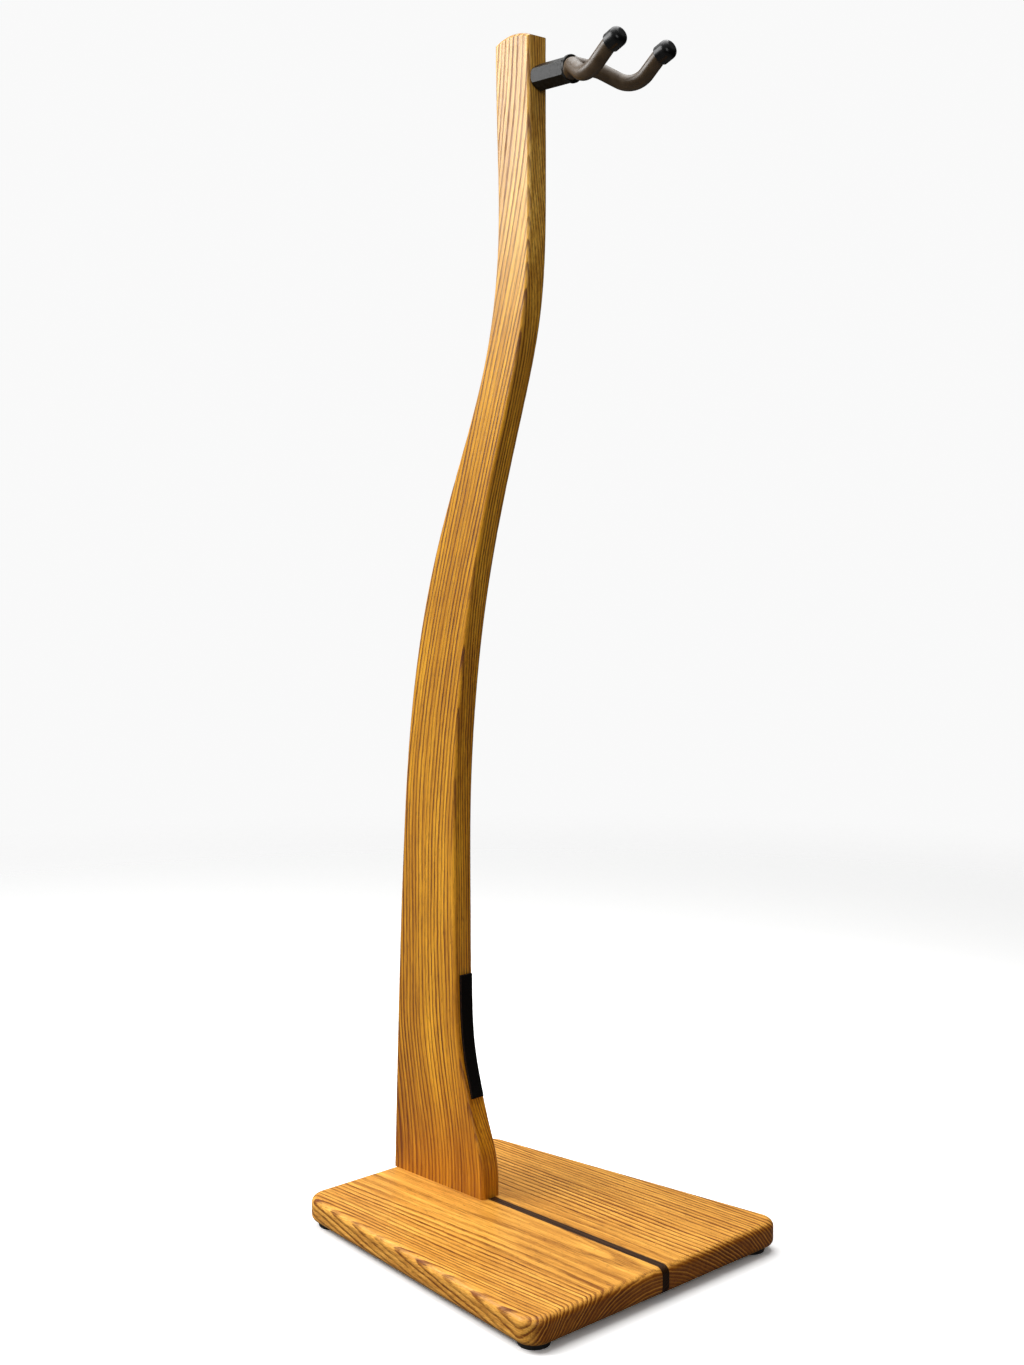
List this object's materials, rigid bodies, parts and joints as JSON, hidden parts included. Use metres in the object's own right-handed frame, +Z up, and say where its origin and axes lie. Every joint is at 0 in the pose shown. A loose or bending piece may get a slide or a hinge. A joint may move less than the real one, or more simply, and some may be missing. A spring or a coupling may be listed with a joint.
{
  "type": "guitar floor stand",
  "caption": "Free-standing oak guitar stand: flat tapered base, S-curved upright with body pad, swivelling rubber-covered yoke that holds a headstock.",
  "frame": {"origin": "on the floor under the middle of the base's box", "axes": "+Z up, -Y the front where the guitar hangs, X across the base"},
  "size_m": [0.3008, 0.332, 1.0316],
  "materials": {
    "oak": "satin oiled oak with open dark grain",
    "walnut": "satin oiled walnut",
    "foot_rubber": "matte moulded rubber",
    "zinc_steel": "zinc plated",
    "black_steel": "worn satin black",
    "brass_insert": "machined",
    "pad_leather": "black with brown cut edge",
    "nylon": "smooth",
    "rod_steel": "plain drawn steel",
    "grip_rubber": "satin brown-grey rubber tube",
    "cap_vinyl": "soft gloss black vinyl"
  },
  "bodies": {
    "stand": {"base_board_left": "oak", "base_board_right": "oak", "base_inlay": "walnut", "foot_front_left": "foot_rubber", "foot_front_right": "foot_rubber", "foot_rear_left": "foot_rubber", "foot_rear_right": "foot_rubber", "foot_washers": "zinc_steel", "foot_screws": "zinc_steel", "upright": "oak", "threaded_inserts": "brass_insert", "base_bolts": "black_steel", "base_bolt_washers": "zinc_steel", "body_rest_pad": "pad_leather", "hanger_bolt": "zinc_steel", "swivel_collar": "black_steel", "collar_set_screw": "black_steel", "swivel_washer": "nylon"},
    "yoke": {"yoke_pivot": "rod_steel", "yoke_rod_left": "rod_steel", "yoke_rod_right": "rod_steel", "grip_tube_left": "grip_rubber", "grip_tube_right": "grip_rubber", "end_cap_left": "cap_vinyl", "end_cap_right": "cap_vinyl"}
  },
  "joints": [
    {"name": "yoke_swivel", "type": "hinge", "parent": "stand", "child": "yoke", "pos_m": [0, -0.0159, 0.9942], "axis": [0, -0.9998, 0.0175], "range_deg": [-45, 45]}
  ]
}
